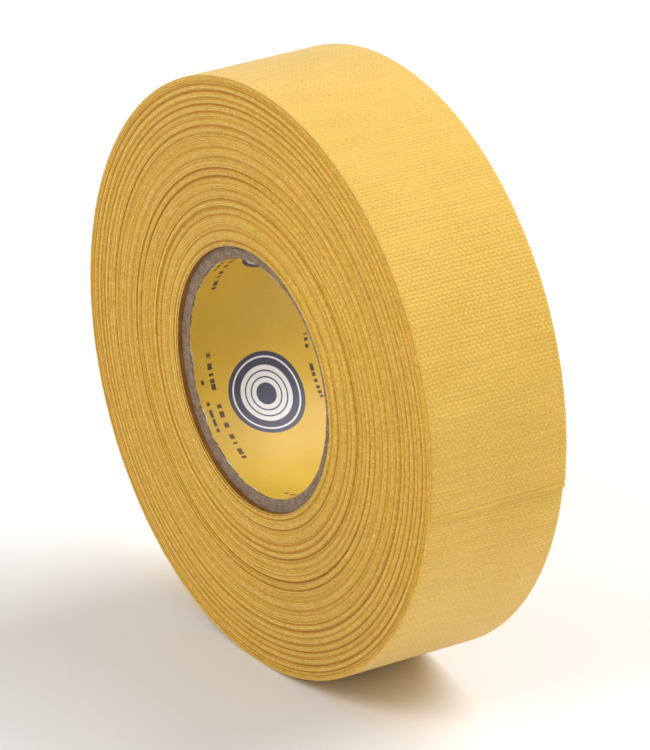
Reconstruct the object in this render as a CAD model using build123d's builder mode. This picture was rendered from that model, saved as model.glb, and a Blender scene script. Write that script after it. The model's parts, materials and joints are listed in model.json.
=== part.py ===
from build123d import *
import math
import os

# Roll of cloth grip tape on a chipboard core, standing on its tread.
# The roll's axis is the Y axis, the origin is the centre of the bore, and +Z is up. Millimetres.
# Angles are measured about the roll's axis, from +X towards +Z.

# ---- driving dimensions ----
tape_width = 25.4  # one inch
roll_radius = 49.5
turns = 102  # turns of tape on the roll
adhesive_share = 0.35  # the adhesive coat's part of the tape's thickness

core_outer_radius = 21.8
core_width = 25.2  # the core is cut a little short of the tape
ply_count = 4
ply_thickness = 0.5
liner_thickness = 0.15
seam_gap = 0.15  # between the two edges of a ply, or of the liner
liner_seam_angle = 20.0
ply_seam_step = 97.0  # each ply's seam is turned this far from the one inside it

# Runs of consecutive turns that lie flush with each other, from the core outwards.
# The one turn that is left over lies outside them.
winding_turns = [2, 7, 3, 6, 5, 4, 6, 5, 3, 5, 4, 3, 5, 4, 5, 4, 5, 3, 5, 3, 5, 4, 3, 2]
dish = 0.60  # how far the innermost turns have slid towards -Y
stagger = 0.16  # how far neighbouring windings sit apart sideways
stagger_steps = 7
standing_flat = 0.26  # how far the outermost turns are pressed in where the roll stands

tip_angle = -7.8  # where the tape is cut
end_count = 4  # stretches of the free end, each hinged on the one before
end_length = 6.0  # of one stretch, along the tape
hinge_gap = 0.04  # between two stretches
tip_gap = 0.30  # between the cut end and where the turn below it comes up
peel_clearance = 0.04  # between the free end's adhesive and the turn under it

# ---- worked out from them ----
tape_thickness = (roll_radius - core_outer_radius) / turns
under_radius = roll_radius - tape_thickness  # outside of the turn under the outermost one
coat_radius = under_radius + adhesive_share * tape_thickness  # where cloth meets adhesive
core_inner_radius = core_outer_radius - ply_count * ply_thickness
bore_radius = core_inner_radius - liner_thickness
end_angle = math.degrees(end_length / roll_radius)
hinge_gap_angle = math.degrees(hinge_gap / roll_radius)
peeled_radius = under_radius + peel_clearance  # inside of the free end's adhesive
tip_gap_angle = math.degrees(tip_gap / roll_radius)
root_angle = tip_angle + end_count * end_angle
reach = 2 * roll_radius  # longer than anything that is cut


def across(shift=0.0):
    """The plane across the roll, shifted along +Y. Its x is +X and its y is +Z."""
    return Plane(origin=(0, shift, 0), x_dir=(1, 0, 0), z_dir=(0, -1, 0))


def pressed_disc(radius, flat):
    """A disc, pressed flat at the bottom by that depth."""
    Circle(radius)
    if flat > 0:
        with Locations((0, flat - radius)):
            Rectangle(reach, reach, align=(Align.CENTER, Align.MAX), mode=Mode.SUBTRACT)


def wedge(start_angle, stop_angle, mode):
    """A triangle from the axis outwards, between two angles less than half a turn apart."""
    half_width = reach * math.tan(math.radians((stop_angle - start_angle) / 2))
    with Locations(Rotation(0, 0, (start_angle + stop_angle) / 2)):
        Polygon((0, 0), (reach, -half_width), (reach, half_width), align=None, mode=mode)


def save(builder, node_name):
    builder.part.label = node_name
    export_step(builder.part, f"parts/{node_name}.step")


def make_seamed_tube(node_name, inner_radius, outer_radius, seam_angle):
    """A tube of the core's width, rolled from sheet, with a straight butt seam."""
    with BuildPart() as tube:
        with BuildSketch(across()):
            Circle(outer_radius)
            Circle(inner_radius, mode=Mode.SUBTRACT)
            with Locations(Rotation(0, 0, seam_angle)):
                Rectangle(reach, seam_gap, align=(Align.MIN, Align.CENTER), mode=Mode.SUBTRACT)
        extrude(amount=core_width / 2, both=True)
    save(tube, node_name)


def make_winding(node_name, inner_radius, outer_radius, shift, flat):
    """A run of whole turns, shifted sideways along +Y."""
    with BuildPart() as winding:
        with BuildSketch(across(shift)):
            pressed_disc(outer_radius, flat)
            Circle(inner_radius, mode=Mode.SUBTRACT)
        extrude(amount=tape_width / 2, both=True)
    save(winding, node_name)


def make_layer(node_name, inner_radius, outer_radius, start_angle, stop_angle, mode):
    """One layer of the outermost turn: the wedge between the angles, or all but that wedge."""
    with BuildPart() as layer:
        with BuildSketch(across()):
            pressed_disc(outer_radius, standing_flat)
            wedge(start_angle, stop_angle, mode)
        extrude(amount=tape_width / 2, both=True)
        with BuildSketch(across()):
            pressed_disc(inner_radius, standing_flat)
        extrude(amount=tape_width / 2, both=True, mode=Mode.SUBTRACT)
    save(layer, node_name)


os.makedirs("parts", exist_ok=True)

# ---- core: the printed liner, then the chipboard plies round it ----
make_seamed_tube("paper_liner", bore_radius, core_inner_radius, liner_seam_angle)
for ply in range(ply_count):
    ply_inner_radius = core_inner_radius + ply * ply_thickness
    ply_seam_angle = liner_seam_angle + (ply + 1) * ply_seam_step
    make_seamed_tube(
        f"core_ply_{ply + 1}", ply_inner_radius, ply_inner_radius + ply_thickness, ply_seam_angle
    )

# ---- tape: windings from the core outwards ----
inner_radius = core_outer_radius
for number, winding in enumerate(winding_turns, start=1):
    outer_radius = inner_radius + winding * tape_thickness
    flat = standing_flat if number == len(winding_turns) else 0
    depth = (inner_radius - core_outer_radius) / (roll_radius - core_outer_radius)
    step = 3 * number % stagger_steps / (stagger_steps - 1)
    shift = -dish * (1 - depth) - stagger * step
    make_winding(f"winding_{number:02d}", inner_radius, outer_radius, shift, flat)
    inner_radius = outer_radius

# ---- outermost turn: cloth over adhesive, all round but for the free end ----
gap_start = tip_angle - tip_gap_angle
gap_stop = root_angle + hinge_gap_angle / 2
make_layer("outer_turn_cloth", coat_radius, roll_radius, gap_start, gap_stop, Mode.SUBTRACT)
make_layer("outer_turn_adhesive", under_radius, coat_radius, gap_start, gap_stop, Mode.SUBTRACT)

# ---- free end: stretches from the root to the cut, hinged where they meet ----
# Each hinge lies in the cloth's outer face, so the adhesive side opens as the end curls away.
for number in range(1, end_count + 1):
    hinge_angle = root_angle - (number - 1) * end_angle
    start = hinge_angle - end_angle + hinge_gap_angle / 2
    stop = hinge_angle - hinge_gap_angle / 2
    make_layer(f"free_end_{number}_cloth", coat_radius, roll_radius, start, stop, Mode.INTERSECT)
    make_layer(f"free_end_{number}_adhesive", peeled_radius, coat_radius, start, stop, Mode.INTERSECT)
    hinge = Vector(roll_radius, 0, 0).rotate(Axis.Y, -hinge_angle)
    print(f"free_end_{number} hinge: x {hinge.X:.4f}, z {hinge.Z:.4f}")

tape_length = math.pi * (roll_radius**2 - core_outer_radius**2) / tape_thickness
print(f"tape: {tape_length / 1000:.2f} m long, {tape_thickness:.4f} mm thick")
print(f"bore radius {bore_radius:.2f} mm; lowest point {standing_flat - roll_radius:.2f} mm")
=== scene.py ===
import json
import math

import bpy
import numpy as np
from mathutils import Matrix, Vector


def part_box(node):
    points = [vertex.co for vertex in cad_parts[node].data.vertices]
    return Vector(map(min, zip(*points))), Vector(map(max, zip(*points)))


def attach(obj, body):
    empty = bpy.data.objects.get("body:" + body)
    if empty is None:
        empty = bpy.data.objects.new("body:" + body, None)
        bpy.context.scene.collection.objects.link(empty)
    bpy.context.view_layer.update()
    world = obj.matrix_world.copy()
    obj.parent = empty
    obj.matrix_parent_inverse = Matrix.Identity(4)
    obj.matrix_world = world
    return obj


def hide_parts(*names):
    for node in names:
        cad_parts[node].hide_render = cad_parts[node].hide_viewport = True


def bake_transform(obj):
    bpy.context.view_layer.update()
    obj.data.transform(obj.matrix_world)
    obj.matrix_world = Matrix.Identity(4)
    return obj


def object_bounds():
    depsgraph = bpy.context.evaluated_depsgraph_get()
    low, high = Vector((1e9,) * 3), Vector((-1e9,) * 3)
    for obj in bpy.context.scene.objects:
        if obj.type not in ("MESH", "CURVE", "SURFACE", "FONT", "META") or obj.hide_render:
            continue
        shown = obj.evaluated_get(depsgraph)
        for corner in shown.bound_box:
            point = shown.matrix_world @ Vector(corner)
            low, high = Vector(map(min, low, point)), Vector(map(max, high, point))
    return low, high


# Looks of the cloth tape roll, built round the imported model. Metres; the roll's axis is Y, +Z is up.
# The tape is one strip, wound as a true spiral. A place along it is told in turns: 0 at the cut end
# outside, growing along the tape towards the core. Angles are about the axis, from +X towards +Z.
# Depth is told in layers below a turn's outer face, so turn + depth grows steadily inwards.

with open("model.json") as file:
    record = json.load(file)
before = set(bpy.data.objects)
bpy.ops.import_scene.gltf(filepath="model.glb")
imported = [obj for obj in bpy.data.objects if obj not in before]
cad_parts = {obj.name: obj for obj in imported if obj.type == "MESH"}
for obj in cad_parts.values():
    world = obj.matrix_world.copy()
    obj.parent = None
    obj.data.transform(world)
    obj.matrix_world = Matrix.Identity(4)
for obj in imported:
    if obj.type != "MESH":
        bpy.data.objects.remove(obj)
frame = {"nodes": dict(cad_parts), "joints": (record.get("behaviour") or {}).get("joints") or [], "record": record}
cad_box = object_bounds()

MM = 0.001

turns = 102  # of tape on the roll

# ---- sizes, read from the frame ----
winding_names = sorted(n for n in frame["nodes"] if n.startswith("winding_"))
ply_names = sorted(n for n in frame["nodes"] if n.startswith("core_ply_"))
roll_radius = -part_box("outer_turn_cloth")[0].x
half_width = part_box("outer_turn_cloth")[1].y
core_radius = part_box(ply_names[-1])[1].x
core_half_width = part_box(ply_names[-1])[1].y
liner_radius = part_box("paper_liner")[1].x
bore_radius = next(m["dims"]["r_mm"] for m in frame["record"]["mounts"] if m["kind"] == "bore") * MM
floor_height = cad_box[0].z

cad_thickness = (roll_radius - core_radius) / turns
pitch = (roll_radius - core_radius) / (turns + 1)  # the strip's two ends overlap, so it has one more layer

hinges = {j["child"]: Vector(j["pos_m"]) for j in frame["joints"]}
hinge_angles = [math.degrees(math.atan2(p.z, p.x)) for _, p in sorted(hinges.items())]
end_angle = hinge_angles[0] - hinge_angles[1]
tip_angle = hinge_angles[-1] - end_angle
lowest_radius = roll_radius - pitch * (270 - tip_angle) / 360  # the roll's outside where it stands
root_turn = (hinge_angles[0] - tip_angle) / 360
mm_in_turns = MM / (2 * math.pi * roll_radius)

# ---- the tape's own sizes ----
weft_pitch = 0.645 * MM  # between threads that run across the tape
warp_pitch = 0.417 * MM  # between threads that run along it
adhesive_inset = 0.02 * MM  # how far the adhesive stays behind the cloth's cut edge
edge_round = 0.06 * MM
edge_droop = 0.06 * MM  # how far the outermost turns curl down at their edges
edge_droop_width = 0.45 * MM
cloth_share = 0.66  # of a layer
layer_fill = 0.985  # of the pitch; the rest keeps neighbouring layers apart
stations_per_turn = 220
odd_turn_scatter = 0.025 * MM  # how far single turns lie sideways at random
slow_wander = 0.045 * MM  # how far the strip drifts sideways, turn by turn
thread_scatter = 0.02 * MM  # how far single thread ends stand out of a cut edge

CLOTH, ADHESIVE, CUT_EDGE = 0, 1, 2  # places in the strip's material list


def noise_1d(seed, count):
    """Smooth noise from -1 to 1 on 0..count, from random values one unit apart."""
    lattice = np.random.default_rng(seed).uniform(-1, 1, int(count) + 3)

    def sample(x):
        x = np.clip(x, 0, count)
        i = np.floor(x).astype(int)
        f = x - i
        f = f * f * (3 - 2 * f)
        return lattice[i] * (1 - f) + lattice[i + 1] * f

    return sample


def smooth(x):
    x = np.clip(x, 0, 1)
    return x * x * (3 - 2 * x)


# ---- how the turns lie sideways ----
def winding_limits():
    """(name, first turn, last turn, sideways shift) of each winding, from the core outwards."""
    rows = []
    last = turns
    for name in winding_names:
        low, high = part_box(name)
        first = round((roll_radius - high.x) / cad_thickness)
        rows.append((name, first, last, (low.y + high.y) / 2))
        last = first
    return rows


windings = winding_limits()

# Single turns that stand back (+) or forward (-) of their neighbours, in mm, by their number from the core.
odd_turns = {
    1: -0.10, 2: -0.10, 3: 0.14, 6: -0.06, 9: 0.12, 13: -0.10, 22: 0.20, 24: -0.14, 29: 0.08, 36: -0.12,
    40: 0.20, 41: 0.34, 43: -0.24, 48: 0.08, 55: -0.10, 62: -0.14, 65: 0.08, 76: -0.12, 81: -0.08,
    88: 0.10, 94: -0.08, 97: 0.10, 98: 0.26, 100: -0.06, 101: -0.08, 102: -0.10,
}

turn_jitter = noise_1d(11, turns * 2 + 8)
turn_wander = noise_1d(12, turns + 8)
groove_wander = noise_1d(14, turns + 8)
thread_jitter = noise_1d(13, turns * stations_per_turn + 2 * stations_per_turn)


def sideways(turn):
    """How far the strip lies from the middle plane, along +Y, at each place along it.

    A winding steps to its own shift, with a groove at the step, and bulges towards -Y between its steps.
    """
    shift = np.zeros_like(turn)
    outer_shift = 0.0
    rng = np.random.default_rng(15)
    for _, first, last, winding_shift in reversed(windings):
        shift += (winding_shift - outer_shift) * smooth((turn - first + 0.35) / 0.7)
        outer_shift = winding_shift
        groove = (0.03 + 0.20 * rng.uniform() ** 1.5) * MM * min(1.0, first / 4)
        width = rng.uniform(0.9, 1.7)
        shift += groove * smooth(1 - np.abs(turn - first) / width) * (1 + 0.7 * groove_wander(turn))
        bulge = rng.uniform(0.02, 0.14) * MM
        shift -= bulge * np.sin(math.pi * np.clip((turn - first) / (last - first), 0, 1))
    from_core = turns - turn
    for number, amount in odd_turns.items():
        near = smooth((0.68 - np.abs(from_core - number)) / 0.3)
        shift += amount * MM * near * (0.8 + 0.4 * turn_wander(turn))
    shift += odd_turn_scatter * turn_jitter(turn * 2)
    shift += slow_wander * turn_wander(turn) * np.clip(turn / 3, 0, 1)
    return shift


table_turns = np.linspace(-1, turns + 2, (turns + 3) * 60 + 1)
table_shifts = sideways(table_turns)


def sunken(turn):
    """How far, from -1 to 1, a place on the roll's -Y side lies behind the turns round it."""
    def shift(at):
        return np.interp(np.maximum(at, 0), table_turns, table_shifts)

    around = sum(shift(turn + step) for step in (-3, -2, -1, 1, 2, 3)) / 6
    return np.clip((shift(turn) - around) / (0.16 * MM), -1, 1)


def seated(turn):
    """How much closer to the core the first turns lie than on an even spiral.

    They lie close round the core, and climb over the strip's inner end in a short step.
    """
    from_core = turns - turn
    lap = np.floor(from_core)
    part = from_core - lap
    climb = smooth((part - 0.94) / 0.06)
    return pitch * (part - climb) * np.clip(1 - lap / 25, 0, 1)


def pressed(points, radius):
    """Presses the turns flat where the roll stands, less and less from the outside inwards."""
    flat = (lowest_radius + floor_height) * np.exp(-(lowest_radius - radius) / (7 * pitch))
    points[:, 2] = np.maximum(points[:, 2], flat - radius)
    return points


def length_along(turn):
    """Length of tape from the cut end to a turn, along the middle of its thickness."""
    return 2 * math.pi * (roll_radius * turn - pitch * (turn * turn + turn) / 2)


# ---- meshes ----
def mesh_object(name, points, faces, uv, material, painted_relief_light=None, sharp_angle=32):
    mesh = bpy.data.meshes.new(name)
    mesh.vertices.add(len(points))
    mesh.vertices.foreach_set("co", np.asarray(points, np.float32).ravel())
    mesh.loops.add(faces.size)
    mesh.loops.foreach_set("vertex_index", faces.astype(np.int32).ravel())
    mesh.polygons.add(len(faces))
    mesh.polygons.foreach_set("loop_start", np.arange(0, faces.size, faces.shape[1], dtype=np.int32))
    mesh.polygons.foreach_set("material_index", material.astype(np.int32))
    mesh.uv_layers.new(name="surface").data.foreach_set("uv", np.asarray(uv, np.float32).ravel())
    if painted_relief_light is not None:
        mesh.attributes.new("painted_relief_light", "FLOAT", "POINT").data.foreach_set("value", painted_relief_light.astype(np.float32))
    mesh.update(calc_edges=True)
    mesh.shade_smooth()
    mesh.set_sharp_from_angle(angle=math.radians(sharp_angle))
    obj = bpy.data.objects.new(name, mesh)
    bpy.context.scene.collection.objects.link(obj)
    return obj


def swept_faces(stations, around):
    """Quads between neighbouring sections, and the two ends, each filled by a ladder of quads."""
    here = np.arange(stations - 1)[:, None] * around + np.arange(around)[None, :]
    beside = np.arange(stations - 1)[:, None] * around + (np.arange(around)[None, :] + 1) % around
    sides = np.stack([here, beside, beside + around, here + around], axis=2).reshape(-1, 4)
    rungs = [(i, around - 1 - i, around - 2 - i, i + 1) for i in range(around // 2 - 1)]
    first = np.array(rungs)
    last = first[:, ::-1] + (stations - 1) * around
    return np.concatenate([sides, first, last])


def strip_section(inner_columns):
    """The strip's section as a loop: place across, depth, and which material the next side has."""
    edge = [
        (0.0, 0.20, cloth_share - 0.10),
        (0.3 * edge_round, 0.06, cloth_share + 0.05),
        (edge_round, 0.0, layer_fill),
    ]
    if inner_columns:
        edge += [(x * MM, 0.0, layer_fill) for x in (0.14, 0.25, 0.38, 0.55)]
    reach = half_width - edge[-1][0]
    left = [(-half_width + x, a, b) for x, a, b in edge]
    right = [(half_width - x, a, b) for x, a, b in reversed(edge)]
    middle = [(x, 0.0, layer_fill) for x in np.linspace(-reach, reach, inner_columns + 2)[1:-1]]
    columns = left + middle + right
    across = [c[0] for c in columns] + [c[0] for c in reversed(columns)]
    depth = [c[1] for c in columns] + [c[2] for c in reversed(columns)]
    count = len(columns)
    edges_out = {0, 1, count - 3, count - 2, count - 1}
    edges_in = {count, 2 * count - 2, 2 * count - 1}
    side = np.full(2 * count, ADHESIVE)
    side[:count] = CLOTH
    side[list(edges_out | edges_in)] = CUT_EDGE
    return np.array(across), np.array(depth), side


def make_strip(name, turn, inner_columns=0, change=None, cut_shadow_until=0.0):
    """A closed mesh of the strip with a section at each of these turns.

    The cloth takes the adhesive's colour up to the given turn from the cut, as a painted shadow along the cut's
    step.
    """
    across, depth, side = strip_section(inner_columns)
    n, k = len(turn), len(across)
    t = np.repeat(turn, k)
    v = np.tile(across, n)
    d = np.tile(depth, n)
    at_edge = np.clip((np.abs(v) - half_width + 2 * edge_round) / edge_round, 0, 1)
    inset = np.where(d > cloth_share, adhesive_inset, 0) * np.sign(v) * at_edge
    shake = thread_scatter * thread_jitter(t * stations_per_turn) * at_edge
    y = v + sideways(t + d) + shake - inset
    if change is not None:
        t, d = change(t, v, d)
    on_roll_turn = np.maximum(t, 0)
    near_edge = smooth(1 - (half_width - np.abs(v)) / edge_droop_width)
    droop = edge_droop * near_edge * np.exp(-on_roll_turn / 4)
    radius = roll_radius - pitch * (t + d) - droop - seated(on_roll_turn)
    angle = np.radians(tip_angle + 360 * t)
    points = np.stack([radius * np.cos(angle), y, radius * np.sin(angle)], axis=1)
    points = pressed(points, radius)
    faces = swept_faces(n, k)
    round_edge = np.sign(v) * (half_width + d * pitch)
    uv = np.stack([length_along(t), np.where(at_edge > 0.99, round_edge, v)], axis=1)[faces.ravel()]
    # Painted shadow along the cut: the cloth there takes the adhesive material.
    around = np.where((turn[:-1, None] < cut_shadow_until) & (side == CLOTH), ADHESIVE, side).ravel()
    material = np.concatenate([around, np.full(len(faces) - (n - 1) * k, CUT_EDGE)])
    # Each place carries how far it lies sunken among its neighbours; from it the cut edge's material paints shade
    # in the grooves and highlight on proud turns.
    return mesh_object(name, points, faces, uv, material, -np.sign(v) * sunken(t + d))


def make_tube(name, inner, outer, half_length, seam_angle, section, stations, wear, material_round):
    """A rolled sheet with a butt seam.

    section lists, round the sheet's section, (share of the thickness, which end of the tube, how far
    back from that end). wear(station, corner) is how much further back the edge is worn there.
    """
    seam = 0.06 * MM / inner
    angle = seam_angle + np.linspace(seam / 2, 2 * math.pi - seam / 2, stations + 1)
    share, end, back = (np.array(x, float) for x in zip(*section))
    n, k = len(angle), len(share)
    a = np.repeat(angle, k)
    station = np.repeat(np.arange(n), k)
    corner = np.tile(np.arange(k), n)
    y = np.tile(end, n) * (half_length - np.tile(back, n) - wear(station, corner))
    radius = inner + (outer - inner) * np.tile(share, n)
    points = np.stack([radius * np.cos(a), y, radius * np.sin(a)], axis=1)
    faces = swept_faces(n, k)
    uv = np.stack([a * inner, y], axis=1)[faces.ravel()]
    rest = len(faces) - (n - 1) * k
    material = np.concatenate([np.tile(material_round, n - 1), np.full(rest, material_round[-1])])
    return mesh_object(name, points, faces, uv, material)


def make_fibres(name, fibres, seed, sag=0.3):
    """Thin bent fibres, each (root, tip, radius), as three-sided tubes that taper to their ends."""
    rng = np.random.default_rng(seed)
    steps, sides = 4, 3
    points, faces = [], []
    for root, tip, radius in fibres:
        along = tip - root
        axis = along.normalized()
        side = axis.orthogonal()
        bend = Matrix.Rotation(rng.uniform(0, 2 * math.pi), 3, axis) @ side
        base = len(points)
        for step in range(steps + 1):
            f = step / steps
            centre = root + along * f + bend * (sag * along.length * f * (1 - f) * 2)
            for j in range(sides):
                out = Matrix.Rotation(2 * math.pi * j / sides, 3, axis) @ side
                points.append(centre + out * (radius * (1 - 0.6 * f)))
        for step in range(steps):
            low = base + step * sides
            for j in range(sides):
                k = (j + 1) % sides
                faces.append((low + j, low + k, low + sides + k, low + sides + j))
        far = base + steps * sides
        faces.append((base + 2, base + 1, base))
        faces.append((far, far + 1, far + 2))
    mesh = bpy.data.meshes.new(name)
    mesh.from_pydata(points, [], faces)
    mesh.shade_smooth()
    obj = bpy.data.objects.new(name, mesh)
    bpy.context.scene.collection.objects.link(obj)
    return obj


def on_roll(radius, angle, y):
    return Vector((radius * math.cos(angle), y, radius * math.sin(angle)))


# ---- materials ----
def colour(*srgb):
    """An sRGB colour of 0..255, as the linear colour that a socket takes."""
    shares = [value / 255 for value in srgb]
    return (*[c / 12.92 if c <= 0.04045 else ((c + 0.055) / 1.055) ** 2.4 for c in shares], 1.0)


class Shader:
    """A material, and short ways to add nodes to it."""

    def __init__(self, name):
        self.material = bpy.data.materials.new(name)
        self.material.use_nodes = True
        self.tree = self.material.node_tree
        self.tree.nodes.clear()
        out = self.tree.nodes.new("ShaderNodeOutputMaterial")
        self.bsdf = self.tree.nodes.new("ShaderNodeBsdfPrincipled")
        self.tree.links.new(self.bsdf.outputs[0], out.inputs["Surface"])

    def node(self, kind, *values, **settings):
        node = self.tree.nodes.new("ShaderNode" + kind)
        for name, value in settings.items():
            setattr(node, name, value)
        for socket, value in zip(node.inputs, values):
            self.feed(socket, value)
        return node

    def feed(self, socket, value):
        if isinstance(value, bpy.types.NodeSocket):
            self.tree.links.new(value, socket)
        elif value is not None:
            socket.default_value = value

    def set(self, **values):
        for name, value in values.items():
            self.feed(self.bsdf.inputs[name.replace("_", " ")], value)

    def math(self, operation, *values, clamp=False):
        return self.node("Math", *values, operation=operation, use_clamp=clamp).outputs[0]

    def add(self, a, b):
        return self.math("ADD", a, b)

    def times(self, a, b):
        return self.math("MULTIPLY", a, b)

    def surface(self):
        """Metres along the strip or round the tube, and metres across it."""
        split = self.node("SeparateXYZ", self.node("UVMap", uv_map="surface").outputs[0])
        return split.outputs[0], split.outputs[1]

    def place(self):
        """The object's own coordinates, in metres."""
        return self.node("TexCoord").outputs["Object"]

    def vector(self, x, y, z=0.0):
        return self.node("CombineXYZ", x, y, z).outputs[0]

    def grey(self, value):
        return self.vector(value, value, value)

    def noise(self, vector, scale, detail=2.0, roughness=0.5):
        node = self.node("TexNoise")
        self.feed(node.inputs["Vector"], vector)
        node.inputs["Scale"].default_value = scale
        node.inputs["Detail"].default_value = detail
        node.inputs["Roughness"].default_value = roughness
        return node.outputs[0]

    def random(self, vector):
        """A random value from 0 to 1 for each vector."""
        return self.node("TexWhiteNoise", vector).outputs[0]

    def ramp(self, value, low, high, start=0.0, stop=1.0):
        """Takes low..high to start..stop, and holds the ends."""
        return self.node("MapRange", value, low, high, start, stop).outputs[0]

    def mix(self, factor, a, b, blend="MIX"):
        node = self.node("Mix", data_type="RGBA", blend_type=blend)
        for index, value in ((0, factor), (6, a), (7, b)):
            self.feed(node.inputs[index], value)
        return node.outputs[2]

    def bump(self, height, distance):
        node = self.node("Bump")
        self.feed(node.inputs["Height"], height)
        node.inputs["Distance"].default_value = distance
        return node.outputs[0]


def weave(s, u, v):
    """A plain weave's height from 0 to about 1, and the numbers of the weft and the warp thread.

    The thick weft threads stand proud where they pass over a warp thread, each by its own amount.
    """
    along = s.math("DIVIDE", u, weft_pitch)
    across = s.math("DIVIDE", v, warp_pitch)
    weft_number = s.math("FLOOR", along)
    warp_number = s.math("FLOOR", across)

    def over(place, number, sign):
        wave = s.math("SINE", s.times(s.add(place, number), math.pi))
        return s.math("MULTIPLY_ADD", wave, 0.5 * sign, 0.5)

    def roundness(place):
        away = s.math("MULTIPLY_ADD", s.math("FRACT", place), 2.0, -1.0)
        return s.math("SUBTRACT", 1.0, s.times(away, away))

    crown = s.math("FLOOR", s.math("MULTIPLY_ADD", s.add(across, weft_number), 0.5, -0.25))
    uneven = s.ramp(s.random(s.vector(weft_number, crown)), 0.0, 1.0, 0.7, 1.1)
    lift = s.math("MULTIPLY_ADD", s.times(over(across, weft_number, -1), uneven), 0.55, 0.45)
    weft = s.times(lift, roundness(along))
    warp = s.times(over(along, warp_number, 1), s.math("SQRT", roundness(across)))
    return s.math("MAXIMUM", s.times(warp, 0.45), weft), weft_number, warp_number


def cloth_material():
    s = Shader("tape_cloth")
    u, v = s.surface()
    flat = s.vector(u, v)
    u_drift = s.math("MULTIPLY_ADD", s.noise(flat, 150), 0.5 * MM, u)
    v_drift = s.math("MULTIPLY_ADD", s.noise(s.vector(v, u), 190), 0.4 * MM, v)
    height, weft_number, warp_number = weave(s, u_drift, v_drift)
    weft_tone = s.noise(s.vector(s.times(weft_number, 0.77), s.times(v, 70)), 1.0, 1)
    warp_tone = s.noise(s.vector(s.times(u, 50), s.times(warp_number, 0.83)), 1.0, 1)
    grain = s.noise(flat, 2100, 3, 0.65)
    patch = s.noise(flat, 70, 3)

    base = s.mix(s.ramp(patch, 0.35, 0.65), colour(231, 183, 62), colour(235, 188, 71))
    # The tone follows the weave's height, lighter on the thread crowns and darker between them: painted shade of
    # the weave's relief, on top of the bump.
    tone = s.ramp(height, 0.0, 1.0, 0.92, 1.04)
    tone = s.times(tone, s.ramp(weft_tone, 0.3, 0.7, 0.96, 1.04))
    tone = s.times(tone, s.ramp(warp_tone, 0.3, 0.7, 0.98, 1.02))
    tone = s.times(tone, s.ramp(grain, 0.3, 0.7, 0.84, 1.08))
    shade = s.vector(tone, s.math("POWER", tone, 1.1), s.math("POWER", tone, 1.6))
    s.set(
        Base_Color=s.mix(1.0, base, shade, "MULTIPLY"),
        Roughness=s.ramp(height, 0.0, 1.0, 0.85, 0.66),
        Normal=s.bump(s.add(height, s.times(grain, 0.4)), 0.105 * MM),
        Sheen_Weight=0.45,
        Sheen_Roughness=0.5,
        Sheen_Tint=colour(255, 248, 222),
        Specular_IOR_Level=0.65,
    )
    return s.material


def cut_edge_material():
    """Thread ends along the cut edges, seen as fine concentric lines and grain on the roll's sides."""
    s = Shader("tape_cut_edge")
    u, v = s.surface()
    here = s.place()
    weft_number = s.math("FLOOR", s.math("DIVIDE", u, weft_pitch))
    away = s.math("MULTIPLY_ADD", s.math("FRACT", s.math("DIVIDE", u, weft_pitch)), 2.0, -1.0)
    thread_end = s.math("SUBTRACT", 1.0, s.times(away, away))
    each_end = s.random(s.vector(weft_number, 3.0))
    grain = s.noise(here, 1500, 2, 0.6)
    fine = s.noise(here, 5200, 2, 0.6)
    blotch = s.noise(here, 420, 2)
    one_turn = s.noise(s.vector(s.times(u, 6.0), 0.0), 1.0, 1)
    darker_tone = s.noise(s.vector(s.times(u, 8.0), 7.0), 1.0, 2)

    base = s.mix(s.ramp(blotch, 0.35, 0.65), colour(234, 193, 74), colour(243, 195, 88))
    base = s.mix(s.ramp(darker_tone, 0.52, 0.68, 0.0, 0.4), base, colour(216, 164, 52))
    base = s.mix(s.ramp(grain, 0.54, 0.74, 0.0, 0.5), base, colour(250, 216, 124))
    # Painted shade in the grooves, where a turn lies behind its neighbours, and painted highlight on turns that
    # stand proud of them.
    painted_relief_light = s.node("Attribute", attribute_name="painted_relief_light").outputs["Fac"]
    base = s.mix(s.ramp(painted_relief_light, 0.05, 1.0, 0.0, 0.85), base, colour(206, 146, 38))
    base = s.mix(s.ramp(painted_relief_light, -0.1, -0.8, 0.0, 0.5), base, colour(252, 216, 116))
    tone = s.ramp(grain, 0.28, 0.55, 0.84, 1.0)
    tone = s.times(tone, s.ramp(fine, 0.3, 0.7, 0.92, 1.05))
    tone = s.times(tone, s.ramp(one_turn, 0.3, 0.7, 0.90, 1.06))
    tone = s.times(tone, s.ramp(s.times(thread_end, each_end), 0.0, 0.8, 0.90, 1.08))
    shade = s.vector(tone, s.math("POWER", tone, 1.05), s.math("POWER", tone, 1.5))
    s.set(
        Base_Color=s.mix(1.0, base, shade, "MULTIPLY"),
        Roughness=s.ramp(grain, 0.3, 0.7, 0.96, 0.84),
        Normal=s.bump(s.add(s.add(grain, s.times(thread_end, 0.5)), s.times(fine, 0.4)), 0.12 * MM),
        Sheen_Weight=0.3,
        Sheen_Roughness=0.5,
        Sheen_Tint=colour(255, 244, 214),
        Specular_IOR_Level=0.2,
    )
    return s.material


def adhesive_material(name, dark, light):
    s = Shader(name)
    u, v = s.surface()
    flat = s.vector(u, v)
    mottle = s.noise(flat, 350, 3)
    grain = s.noise(flat, 3000)
    base = s.mix(s.ramp(mottle, 0.35, 0.65), dark, light)
    s.set(
        Base_Color=s.mix(1.0, base, s.grey(s.ramp(grain, 0.3, 0.7, 0.86, 1.06)), "MULTIPLY"),
        Roughness=s.ramp(mottle, 0.3, 0.7, 0.45, 0.62),
        Normal=s.bump(s.add(grain, mottle), 0.03 * MM),
        Specular_IOR_Level=0.4,
    )
    return s.material


def thread_material():
    s = Shader("loose_thread")
    grain = s.noise(s.place(), 6000, 2)
    s.set(
        Base_Color=s.mix(s.ramp(grain, 0.3, 0.7), colour(226, 176, 70), colour(246, 206, 112)),
        Roughness=s.ramp(grain, 0.3, 0.7, 0.95, 0.8),
        Sheen_Weight=0.4,
    )
    return s.material


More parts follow.
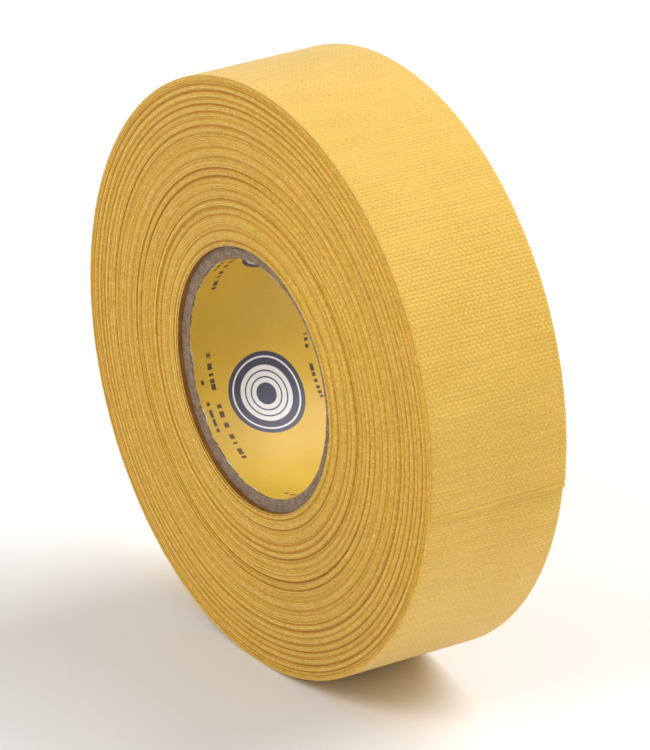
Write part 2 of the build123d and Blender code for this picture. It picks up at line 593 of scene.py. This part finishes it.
def chipboard_material():
    s = Shader("chipboard")
    here = s.place()
    pulp = s.noise(here, 900, 4, 0.62)
    fibre = s.noise(here, 4200, 3, 0.6)
    speck = s.noise(here, 2600, 1)
    base = s.mix(s.ramp(pulp, 0.35, 0.65), colour(136, 114, 95), colour(163, 142, 121))
    base = s.mix(s.ramp(speck, 0.66, 0.76, 0.0, 0.5), base, colour(186, 168, 144))
    base = s.mix(s.ramp(speck, 0.34, 0.26, 0.0, 0.5), base, colour(88, 68, 54))
    s.set(
        Base_Color=s.mix(1.0, base, s.grey(s.ramp(fibre, 0.3, 0.7, 0.84, 1.08)), "MULTIPLY"),
        Roughness=s.ramp(fibre, 0.3, 0.7, 0.98, 0.86),
        Normal=s.bump(s.add(pulp, s.times(fibre, 0.5)), 0.12 * MM),
        Specular_IOR_Level=0.2,
    )
    return s.material


def paper_material():
    """The liner's white paper, where the print has torn away and on its back."""
    s = Shader("liner_paper")
    here = s.place()
    fibre = s.noise(here, 3500, 3, 0.6)
    soil = s.noise(here, 300, 2)
    base = s.mix(s.ramp(soil, 0.42, 0.58), colour(232, 224, 206), colour(176, 156, 128))
    s.set(
        Base_Color=s.mix(1.0, base, s.grey(s.ramp(fibre, 0.3, 0.7, 0.88, 1.02)), "MULTIPLY"),
        Roughness=s.ramp(fibre, 0.3, 0.7, 0.95, 0.8),
        Normal=s.bump(fibre, 0.05 * MM),
    )
    return s.material


def print_material():
    """The liner's printed face: yellow, with rings on a round field and dashed rules, four times round."""
    s = Shader("liner_print")
    u, v = s.surface()
    field_radius = 7.0 * MM
    ring_sizes = ((6.1, 0.3), (4.35, 0.8), (3.3, 0.8), (2.25, 0.8))  # middle radius and width, in mm
    repeat = 2 * math.pi * bore_radius / 4
    emblem_place = math.radians(214.9) * bore_radius  # one of the four, round the bore
    step = s.math("DIVIDE", s.math("SUBTRACT", u, emblem_place), repeat)
    a = s.times(s.math("SUBTRACT", step, s.math("ROUND", step)), repeat)
    ink_edge = 0.05 * MM

    def inside(distance, limit):
        return s.ramp(distance, limit + ink_edge, limit - ink_edge)

    def both(*masks):
        result = masks[0]
        for mask in masks[1:]:
            result = s.times(result, mask)
        return result

    def any_of(*masks):
        result = masks[0]
        for mask in masks[1:]:
            result = s.math("MAXIMUM", result, mask)
        return result

    def off(value, centre):
        return s.math("ABSOLUTE", s.math("SUBTRACT", value, centre))

    centre_distance = s.math("SQRT", s.add(s.times(a, a), s.times(v, v)))
    disc = inside(centre_distance, field_radius)
    rings = [inside(off(centre_distance, radius * MM), width / 2 * MM) for radius, width in ring_sizes]
    light_ink = any_of(*rings)

    def rule(centre, half_length, half_height, dash):
        """A row of dashes of uneven lengths, centred across from an emblem."""
        dashes = s.ramp(s.noise(s.vector(a, centre), 0.8 / dash, 0), 0.42, 0.47)
        breaks = s.ramp(s.noise(s.vector(a, centre + MM), 0.12 / dash, 0), 0.36, 0.39)
        box = both(inside(s.math("ABSOLUTE", a), half_length), inside(off(v, centre), half_height))
        return both(box, dashes, breaks)

    rules = any_of(
        rule(-9.15 * MM, 10.5 * MM, 0.42 * MM, 0.8 * MM),
        rule(-11.0 * MM, 4.7 * MM, 0.28 * MM, 0.6 * MM),
        rule(9.6 * MM, 8.0 * MM, 0.34 * MM, 0.7 * MM),
    )

    fibre = s.noise(s.vector(u, v), 2400, 3, 0.6)
    patch = s.noise(s.vector(u, v), 120, 2)
    base = s.mix(s.ramp(patch, 0.35, 0.65), colour(211, 172, 46), colour(216, 178, 55))
    base = s.mix(disc, base, colour(62, 64, 86))
    base = s.mix(light_ink, base, colour(226, 228, 234))
    base = s.mix(rules, base, colour(84, 56, 30))
    s.set(
        Base_Color=s.mix(1.0, base, s.grey(s.ramp(fibre, 0.3, 0.7, 0.95, 1.02)), "MULTIPLY"),
        Roughness=s.ramp(fibre, 0.3, 0.7, 0.55, 0.45),
        Normal=s.bump(fibre, 0.02 * MM),
        Specular_IOR_Level=0.6,
    )
    return s.material


cloth = cloth_material()
cut_edge = cut_edge_material()
adhesive = adhesive_material("tape_adhesive", colour(204, 148, 46), colour(220, 168, 62))
# The innermost winding's adhesive is darker than the rest: painted shade on the tape's inner wall beside the core.
darker_tone = adhesive_material("adhesive_painted_shade", colour(142, 94, 36), colour(166, 116, 50))
thread = thread_material()
chipboard = chipboard_material()
paper = paper_material()
label_print = print_material()


def finish_piece(obj, materials, body=None, replaced=()):
    for material in materials:
        obj.data.materials.append(material)
    if body is not None:
        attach(obj, body)
    if replaced:
        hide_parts(*replaced)
    return obj


# ---- windings ----
tread_columns = 12  # across the outermost winding, whose outer face shows under the free end
for name, first, last, _ in windings:
    turn = np.linspace(first, last, round((last - first) * stations_per_turn) + 1)
    columns = tread_columns if name == winding_names[-1] else 0
    # The innermost winding takes the darker adhesive, a painted shade on its inner wall beside the core.
    coat = darker_tone if name == winding_names[0] else adhesive
    strip = make_strip(f"tape_{name}", turn, columns)
    finish_piece(strip, [cloth, coat, cut_edge], "roll", [name])
    size = (2 * half_width, length_along(last) - length_along(first))

# ---- outermost turn ----
outer_turn = finish_piece(
    make_strip("tape_outer_turn", np.linspace(root_turn, 1, 420), 40),
    [cloth, adhesive, cut_edge], "roll", ["outer_turn_cloth", "outer_turn_adhesive"],
)

# ---- free end ----
tip_fray = noise_1d(21, 64)
tip_sag = noise_1d(22, 24)


def cut_end(turn, across, depth):
    """The tape's cut: an uneven edge, and the last weft threads raised, with a slit behind them."""
    x = turn / mm_in_turns
    place = (across / half_width + 1) / 2
    near = np.clip(1 - x / 0.5, 0, 1)
    uneven = 0.08 + 0.08 * tip_fray(place * 60) + 0.06 * tip_sag(place * 9)
    raised = 0.8 * np.exp(-((x - 0.4) / 0.42) ** 4) * (0.8 + 0.3 * tip_sag(place * 17))
    slit = 0.32 * np.exp(-((x - 1.02) / 0.2) ** 2)
    behind = 0.3 * np.exp(-((x - 1.7) / 0.5) ** 2)
    return turn + uneven * near * mm_in_turns, depth - np.where(depth < 0.5, raised + behind - slit, 0)


# A piece reaches half a stretch to each side of its hinge. But the first starts at its
# hinge, which is the free end's root, and the last goes on to the cut.
half_stretch = end_angle / 2 / 360  # in turns
cut_shadow_reach = 0.16 * mm_in_turns  # how far from the cut the cloth takes the adhesive's colour, as a painted shadow of the cut's step
for number, hinge_angle in enumerate(hinge_angles, start=1):
    body = f"free_end_{number}"
    is_tip = number == len(hinge_angles)
    hinge_turn = (hinge_angle - tip_angle) / 360
    last = root_turn if number == 1 else hinge_turn + half_stretch
    first = 0.0 if is_tip else hinge_turn - half_stretch
    turn = np.linspace(first, last, round((last - first) / mm_in_turns * 5) + 1)
    if is_tip:
        close = np.arange(0, 2.4, 0.06) * mm_in_turns
        turn = np.concatenate([close, turn[turn > close[-1] + 0.05 * mm_in_turns]])
    strip = make_strip(f"tape_free_end_{number}", turn, 60, cut_end if is_tip else None, cut_shadow_reach)
    replaced = [f"{body}_cloth", f"{body}_adhesive"]
    finish_piece(strip, [cloth, adhesive, cut_edge], None, replaced)
    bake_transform(strip)


def tip_threads():
    """Cut warp threads that stand out of the tape's end, lying on the turn below."""
    rng = np.random.default_rng(31)
    tip = math.radians(tip_angle)
    for place in np.arange(-half_width + 0.4 * MM, half_width - 0.3 * MM, 0.8 * MM):
        y = place + rng.uniform(-0.3, 0.3) * MM
        reach = rng.uniform(0.02, 0.34) * MM
        root = on_roll(roll_radius - pitch * 0.5, tip + 0.25 * MM / roll_radius, y)
        end_y = y + rng.uniform(-0.2, 0.2) * MM
        end = on_roll(roll_radius - pitch * 0.75, tip - reach / roll_radius, end_y)
        yield root, end, rng.uniform(0.03, 0.055) * MM


tip_body = f"free_end_{len(hinge_angles)}"
finish_piece(make_fibres("tape_end_threads", tip_threads(), 32), [thread], tip_body)

# ---- core ----
ply_ends = [(0.0, 0.07 * MM), (0.15, 0.01 * MM), (0.5, 0.0), (0.85, 0.01 * MM), (1.0, 0.07 * MM)]
ply_section = [(share, -1, back) for share, back in ply_ends] + [(s, 1, b) for s, b in reversed(ply_ends)]
core_stations = 540
liner_seam_angle = 20  # degrees
ply_seam_step = 97  # degrees that each ply's seam is turned from the one inside it


def chipboard_wear(seed):
    """Sawn ends of chipboard: rough all over, with small chips out of them."""
    rng = np.random.default_rng(seed)
    rough = rng.uniform(0, 0.05, (core_stations + 1, len(ply_section)))
    chips = 0.10 * rng.uniform(0, 1, (core_stations + 1, 1)) ** 5
    slow = noise_1d(seed + 1, 60)

    def wear(station, corner):
        return (rough + chips)[station, corner] * MM + 0.03 * MM * (1 + slow(station / 12))

    return wear


ply_thickness = (core_radius - liner_radius) / len(ply_names)
for number, name in enumerate(ply_names, start=1):
    outer_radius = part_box(name)[1].x
    ply = make_tube(
        f"chipboard_ply_{number}", outer_radius - ply_thickness, outer_radius, core_half_width,
        math.radians(liner_seam_angle + ply_seam_step * number), ply_section, core_stations,
        chipboard_wear(40 + 2 * number),
        np.zeros(len(ply_section), int),
    )
    finish_piece(ply, [chipboard], "roll", [name])

# ---- liner ----
liner_stations = 900
liner_section = [(0, -1, 0.0), (0, -1, 0.0), (0, 1, 0.0), (0, 1, 0.0), (1, 1, 0.0), (1, -1, 0.0)]
PRINT, PAPER, SAWN = 0, 1, 2
liner_sides = np.array([PAPER, PRINT, PAPER, SAWN, PAPER, SAWN])


def torn_edge(seed):
    """How far back the liner's edge is sawn, and behind it how wide the print has torn off.

    Both edges are worn in one pattern, but the +Y edge's is turned about the axis.
    """
    saw, slow, tear, fine = (noise_1d(seed + i, 1000) for i in range(4))
    stations_turned = 0.31 * liner_stations

    def wear(station, corner):
        at = station + np.where((corner == 2) | (corner == 3) | (corner == 4), stations_turned, 0)
        edge = 0.30 + 0.14 * saw(at / 3.3) + 0.16 * slow(at / 14) + 0.04 * fine(at)
        torn = 0.75 * np.clip(tear(at / 14) - 0.25, 0, 1) * (0.6 + 0.4 * fine(at)) + 0.01
        return (edge + np.where((corner == 1) | (corner == 2), torn, 0)) * MM

    return wear


liner = make_tube(
    "printed_liner", bore_radius, liner_radius, core_half_width, math.radians(liner_seam_angle),
    liner_section, liner_stations, torn_edge(60), liner_sides,
)
finish_piece(liner, [label_print, paper, chipboard], "roll", ["paper_liner"])


def liner_fibres():
    """Torn paper fibres at the liner's two edges, in tufts."""
    rng = np.random.default_rng(71)
    tufts = rng.uniform(0, 2 * math.pi, 26)
    for end in (-1, 1):
        for _ in range(260):
            angle = rng.choice(tufts) + rng.normal(0, 0.07)
            y = end * (core_half_width - rng.uniform(0.12, 0.5) * MM)
            root = on_roll(bore_radius + 0.02 * MM, angle, y)
            out = on_roll(bore_radius - rng.uniform(0.02, 0.28) * MM, angle + rng.normal(0, 0.014),
                          y + end * rng.uniform(0.0, 0.35) * MM)
            yield root, out, rng.uniform(0.010, 0.022) * MM


finish_piece(make_fibres("liner_fibres", liner_fibres(), 72), [paper], "roll")


def chipboard_fibres():
    """Short fuzz on the sawn ends of the core."""
    rng = np.random.default_rng(81)
    for end in (-1, 1):
        for _ in range(320):
            angle = rng.uniform(0, 2 * math.pi)
            radius = rng.uniform(liner_radius, core_radius - 0.1 * MM)
            root = on_roll(radius, angle, end * (core_half_width - 0.1 * MM))
            out = on_roll(radius + rng.normal(0, 0.12) * MM, angle + rng.normal(0, 0.008),
                          end * (core_half_width + rng.uniform(0.0, 0.12) * MM))
            yield root, out, rng.uniform(0.010, 0.020) * MM


finish_piece(make_fibres("chipboard_fibres", chipboard_fibres(), 82), [chipboard], "roll")


# ---- stage, light and camera ----
def add_floor():
    size = 40
    corners = [(-size, -size, 0), (size, -size, 0), (size, size, 0), (-size, size, 0)]
    mesh = bpy.data.meshes.new("floor")
    mesh.from_pydata(corners, [], [(0, 1, 2, 3)])
    floor = bpy.data.objects.new("floor", mesh)
    floor.location.z = floor_height
    bpy.context.scene.collection.objects.link(floor)
    s = Shader("floor_paint")
    s.set(Base_Color=(0.92, 0.92, 0.92, 1), Roughness=0.9, Specular_IOR_Level=0.2)
    mesh.materials.append(s.material)


def add_world(strength):
    world = bpy.data.worlds.new("studio")
    world.use_nodes = True
    background = world.node_tree.nodes["Background"]
    background.inputs["Color"].default_value = (1, 1, 1, 1)
    background.inputs["Strength"].default_value = strength
    bpy.context.scene.world = world


def add_softbox(name, place, size, watts):
    light = bpy.data.lights.new(name, "AREA")
    light.shape = "RECTANGLE"
    light.size, light.size_y = size
    light.energy = watts
    lamp = bpy.data.objects.new(name, light)
    lamp.location = place
    lamp.rotation_mode = "QUATERNION"
    lamp.rotation_quaternion = (-Vector(place)).to_track_quat("-Z", "Y")
    lamp.visible_camera = False
    bpy.context.scene.collection.objects.link(lamp)


def add_camera():
    azimuth, elevation = math.radians(56.17), math.radians(23.16)
    distance = 22.597 * roll_radius
    back = Vector((
        math.sin(azimuth) * math.cos(elevation),
        -math.cos(azimuth) * math.cos(elevation),
        math.sin(elevation),
    ))
    right = Vector((math.cos(azimuth), math.sin(azimuth), 0))
    up = back.cross(right)
    data = bpy.data.cameras.new("camera")
    data.sensor_width = 36
    data.lens = 336.06
    data.clip_end = 100
    camera = bpy.data.objects.new("camera", data)
    bpy.context.scene.collection.objects.link(camera)
    camera.location = back * distance
    aim = right * 0.50 * MM - up * 2.04 * MM
    camera.rotation_mode = "QUATERNION"
    camera.rotation_quaternion = (aim - camera.location).to_track_quat("-Z", "Y")
    bpy.context.scene.camera = camera


add_floor()
add_world(0.45)
add_softbox("front", (0.1, -0.85, 0.85), (0.6, 0.6), 5.4)
add_softbox("back", (0.1, 0.8, 0.9), (1.2, 0.8), 14.0)
add_camera()
bpy.context.scene.view_settings.view_transform = "Standard"
